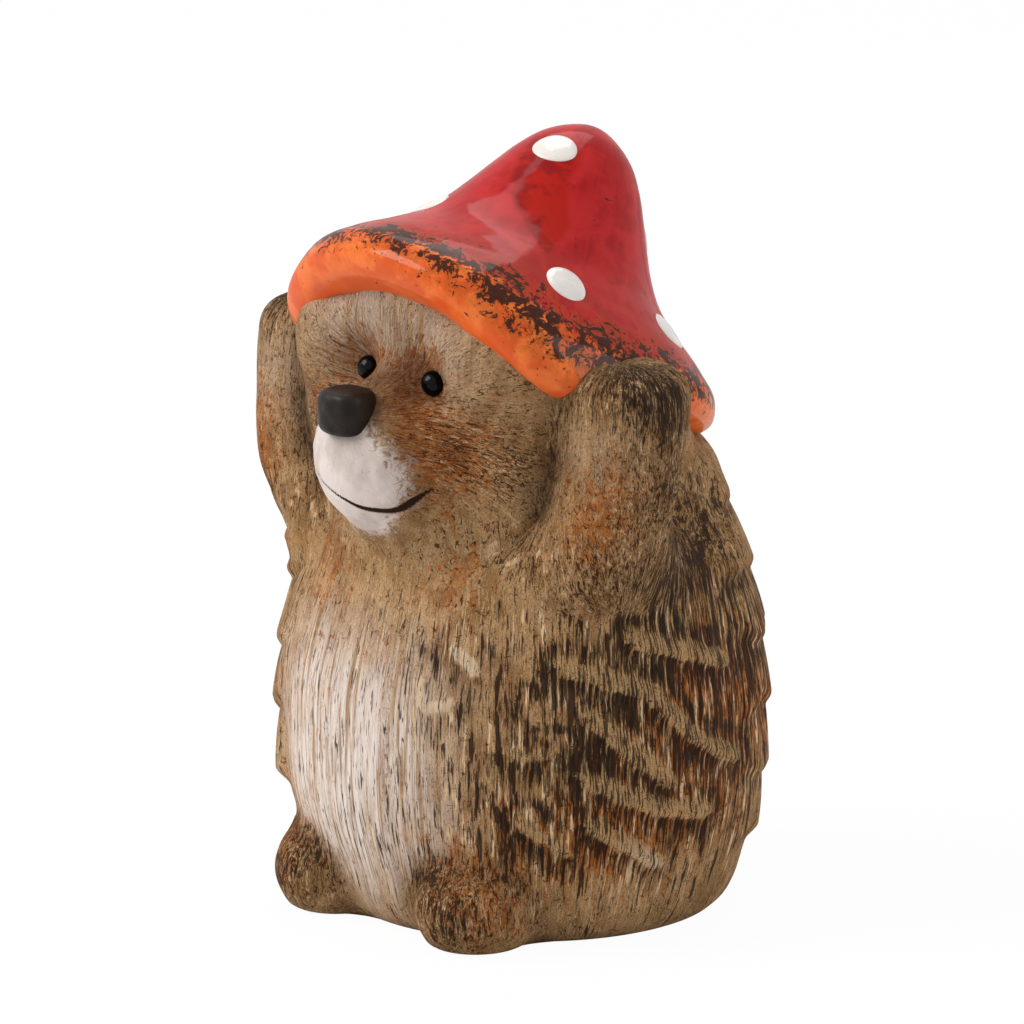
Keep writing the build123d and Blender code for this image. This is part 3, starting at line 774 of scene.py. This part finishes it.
def cap_drop(angle):
    """How far the rim dips at an angle from the front, most beside each paw."""
    return cap_dip * np.exp(-((np.abs(angle) - cap_dip_angle) / cap_dip_spread) ** 2)


def cap_place(angle, height, radius):
    """A point from the angle, height and radius about the cap's tilted axis."""
    turn = np.radians(angle)
    forward = radius * np.cos(turn)
    y = cap_rim_middle[0] - forward * math.cos(cap_tilt) + height * math.sin(cap_tilt)
    z = cap_rim_middle[1] + forward * math.sin(cap_tilt) + height * math.cos(cap_tilt)
    return np.stack([radius * np.sin(turn), y, z], -1)


def cap_skin_point(angle, arc):
    """A point of the cap's skin at an angle about its axis and a length of profile down from the tip."""
    height, radius = np.moveaxis(curve_through(profile_arc, cap_profile, arc), -1, 0)
    fade = np.clip(1 - height / cap_height / cap_dip_fade, 0, 1) ** 2
    return cap_place(angle, height - cap_drop(angle) * fade, radius)


def cap():
    """Bell from its tip down the profile to the rolled rim, then in to the seat on the head.

    Its masks are band, where orange covers red; crest, the rim's top; dusk, the rim's underside; and a strip of
    deeper red painted as a dark reflection, where the glaze mirrors no lamp."""
    around = 340
    turn = np.linspace(-180, 180, around, endpoint=False)
    arcs = np.concatenate([[0.0], np.linspace(0.4, cap_length, 200)])
    angle, arc = np.meshgrid(turn, arcs)
    points = cap_skin_point(angle, arc)
    seat_height, seat_radius = cap_seat
    seat = cap_place(turn, np.full(around, seat_height), np.full(around, seat_radius))
    under = [points[-1] * (1 - share) + seat * share for share in (0.2, 0.5, 0.8, 1.0)]
    under.append(np.broadcast_to(cap_place(0.0, seat_height, 0.0), (around, 3)))
    rows = np.concatenate([points, np.array(under)])
    height, radius = np.moveaxis(curve_through(profile_arc, cap_profile, arc), -1, 0)
    crest_arc = np.interp(0.10, cap_profile[::-1, 0] / cap_height, profile_arc[::-1])
    band = ease(crest_arc - 5.0, crest_arc + 5.0, arc)
    down = arc - crest_arc - 1.0
    crest = np.where(down > 0, np.exp(-(down / 7.5) ** 2),
                     0.7 * np.exp(-(down / 5.5) ** 2) + 0.3 * np.exp(-(down / 18.0) ** 2))
    # A strip of deeper red runs slanting down the near side, narrower towards the rim; it is a painted dark
    # reflection, where the glaze mirrors no lamp
    share = height / cap_height
    across = np.radians(angle - 45.0 + 64.0 * (share - 0.33)) * radius
    half = 0.5 + 7.5 * ease(0.26, 0.50, share)
    ragged = 1.5 * (soft_noise(71, arc / 4, arc * 0) - 0.5)
    painted_dark_reflection = ease(1.15, 0.85, np.abs(across + ragged) / half) * ease(0.90, 0.80, share) * ease(0.26, 0.34, share)
    dusk = ease(crest_arc + 9.0, cap_length, arc)
    attributes = {}
    for key, values, end in (("band", band, 1.0), ("crest", crest, 0.0), ("dusk", dusk, 1.0), ("painted_dark_reflection", painted_dark_reflection, 0.0)):
        attributes[key] = np.concatenate([values, np.full((len(under), around), end)])
    stroke = np.stack([np.sin(np.radians(angle)) * cap_stroke_radius, np.cos(np.radians(angle)) * cap_stroke_radius,
                       arc], -1)
    attributes["stroke"] = np.concatenate([stroke, np.zeros((len(under), around, 3))])
    return skin("cap_skin", rows, attributes, cap_glaze, "red_glaze", "mushroom_cap")


# Dots: angle, height as a share of the cap's, half width and half height
dot_places = [
    (18.0, 0.80, 6.1, 5.0), (57.0, 0.23, 5.6, 5.2), (108.0, 0.24, 5.8, 5.2), (-30.0, 0.37, 5.6, 5.2),
    (-70.0, 0.30, 5.8, 5.2), (-75.0, 0.68, 5.4, 4.9), (-128.0, 0.26, 5.8, 5.4), (148.0, 0.62, 5.4, 5.0),
    (172.0, 0.20, 5.8, 5.4), (-160.0, 0.45, 5.6, 5.2)]


def dot_rings(angle, height_share, half_width, half_height):
    """Lens laid on the cap's skin, rings from its crown to its edge and under: 0.85 mm times root of 1 - r^2."""
    arc = np.interp(height_share, cap_profile[::-1, 0] / cap_height, profile_arc[::-1])
    radius = np.interp(arc, profile_arc, cap_profile[:, 1])
    share = np.concatenate([np.sin(np.linspace(0, math.pi / 2, 12)), [0.97, 0.5, 0.0]])
    lift = np.concatenate([0.85 * np.sqrt(1 - share[:12] ** 2), [-0.35, -0.5, -0.5]])
    turn = np.linspace(0, 2 * math.pi, 40, endpoint=False)
    across = share[:, None] * half_width * np.sin(turn)
    down = share[:, None] * half_height * np.cos(turn)
    angles, arcs = angle + np.degrees(across / radius), arc + down
    here = cap_skin_point(angles, arcs)
    beside = cap_skin_point(angles + 0.5, arcs) - here
    below = cap_skin_point(angles, arcs + 0.3) - here
    out = np.cross(below, beside)
    out /= np.linalg.norm(out, axis=-1, keepdims=True)
    return here + out * lift[:, None, None]


def dots():
    """Every dot is a piece of its own; the first one stands for the CAD's dots."""
    for k, place in enumerate(dot_places):
        nodes = ["cap_dots"] if k == 0 else []
        skin(f"cap_dot_{k + 1}", dot_rings(*place), {}, dot_enamel, "white_glaze", *nodes)


def nose():
    """Rounded block, faintly dented: its level section to the power 2.6, its top and bottom to the power 4.5."""
    way = sphere_ways(70, 90, (0, -1, 0.3))
    flat = np.abs(way / nose_reach)
    level = (flat[..., 0] ** 2.6 + flat[..., 1] ** 2.6) ** (1 / 2.6)
    share = (level ** 4.5 + flat[..., 2] ** 4.5) ** (-1 / 4.5)
    points = nose_middle + way * share[..., None]
    dent = (soft_noise(51, points[..., 0] * 0.35 + 50, points[..., 2] * 0.35) - 0.5) * 0.35
    return skin("nose_button", points + way * dent[..., None], {}, nose_enamel, "black_glaze", "nose")


def eye(side, name):
    """Bead: a ball a little flattened from front to back, its middle 0.7 mm before the socket's floor."""
    way = sphere_ways(40, 56, (0, -1, 0))
    forehead = cast(eye_middle * (side, 0, 1) + (0, -20.0, 0), np.array([0, -1.0, 0]), 60.0, head_field)
    points = forehead + (0, -0.7, 0) + way * eye_reach * (1, 0.9, 1)
    return skin(name + "_bead", points, {}, eye_enamel, "black_glaze", name)


torso()
head()
cap()
dots()
nose()
for side, word in ((1, "left"), (-1, "right")):
    arm(side, "arm_" + word)
    foot(side, "foot_" + word)
    eye(side, "eye_" + word)


# Floor, backdrop, lamps and camera

def studio():
    """Plain pale floor that keeps the object's shadow, and a white world for what the camera and gloss see."""
    material, tree = new_material("white_paper")
    seen = add(tree, "LightPath", output="Is Camera Ray")
    share = add(tree, "Math", {0: seen, 1: 0.96}, operation="MULTIPLY")
    paper = add(tree, "BsdfDiffuse", {"Color": "#f4f4f4"})
    white = add(tree, "Emission", {"Color": "#ffffff", "Strength": 1.0})
    add(tree, "OutputMaterial", {"Surface": add(tree, "MixShader", {0: share, 1: paper, 2: white})})
    mesh = bpy.data.meshes.new("floor")
    reach = 2.5
    mesh.from_pydata([(-reach, -reach, 0), (reach, -reach, 0), (reach, reach, 0), (-reach, reach, 0)], [],
                     [(0, 1, 2, 3)])
    mesh.materials.append(material)
    floor = bpy.data.objects.new("floor", mesh)
    bpy.context.scene.collection.objects.link(floor)

    world = bpy.data.worlds.new("studio_white")
    bpy.context.scene.world = world
    world.use_nodes = True
    tree = world.node_tree
    tree.nodes.clear()
    # The camera and gloss see full white; everything else is lit by about a third of it
    direct = 0.0
    for ray in ("Is Camera Ray", "Is Glossy Ray", "Is Transmission Ray"):
        direct = add(tree, "Math", {0: direct, 1: add(tree, "LightPath", output=ray)}, operation="MAXIMUM")
    sky = add(tree, "Background", {"Color": "#ffffff", "Strength": coverage(tree, direct, 0.0, 1.0, 0.36)})
    add(tree, "OutputWorld", {"Surface": sky})


def lamp(name, place, aim, size, power):
    """Soft square lamp at a place, aimed at a point."""
    data = bpy.data.lights.new(name, "AREA")
    data.shape, data.size, data.energy = "SQUARE", size, power
    thing = bpy.data.objects.new(name, data)
    bpy.context.scene.collection.objects.link(thing)
    thing.location = place
    thing.rotation_euler = (Vector(aim) - Vector(place)).to_track_quat("-Z", "Y").to_euler()


def camera():
    """Long lens 3 m away, 46.4 degrees round to the hedgehog's left and 14 degrees up, as the picture's was."""
    around, above, distance = math.radians(46.4), math.radians(14.0), 3.0
    back = Vector((math.sin(around) * math.cos(above), -math.cos(around) * math.cos(above), math.sin(above)))
    data = bpy.data.cameras.new("camera")
    data.sensor_width, data.lens = 36.0, 412.4
    data.shift_x, data.shift_y = -0.0107, 0.0057
    data.clip_start, data.clip_end = 0.1, 20.0
    thing = bpy.data.objects.new("camera", data)
    bpy.context.scene.collection.objects.link(thing)
    thing.location = Vector((0, 0, 0.1)) + back * distance
    thing.rotation_euler = (-back).to_track_quat("-Z", "Y").to_euler()
    bpy.context.scene.camera = thing


studio()
lamp("key_left", (-0.85, -1.30, 1.35), (0, 0, 0.1), 1.1, 36.0)
lamp("fill_right", (1.50, 0.72, 0.85), (0, 0, 0.1), 1.1, 11.0)
lamp("back_top", (-0.55, 0.60, 1.35), (0, 0, 0.12), 0.9, 7.0)
camera()
bpy.context.scene.view_settings.view_transform = "Standard"
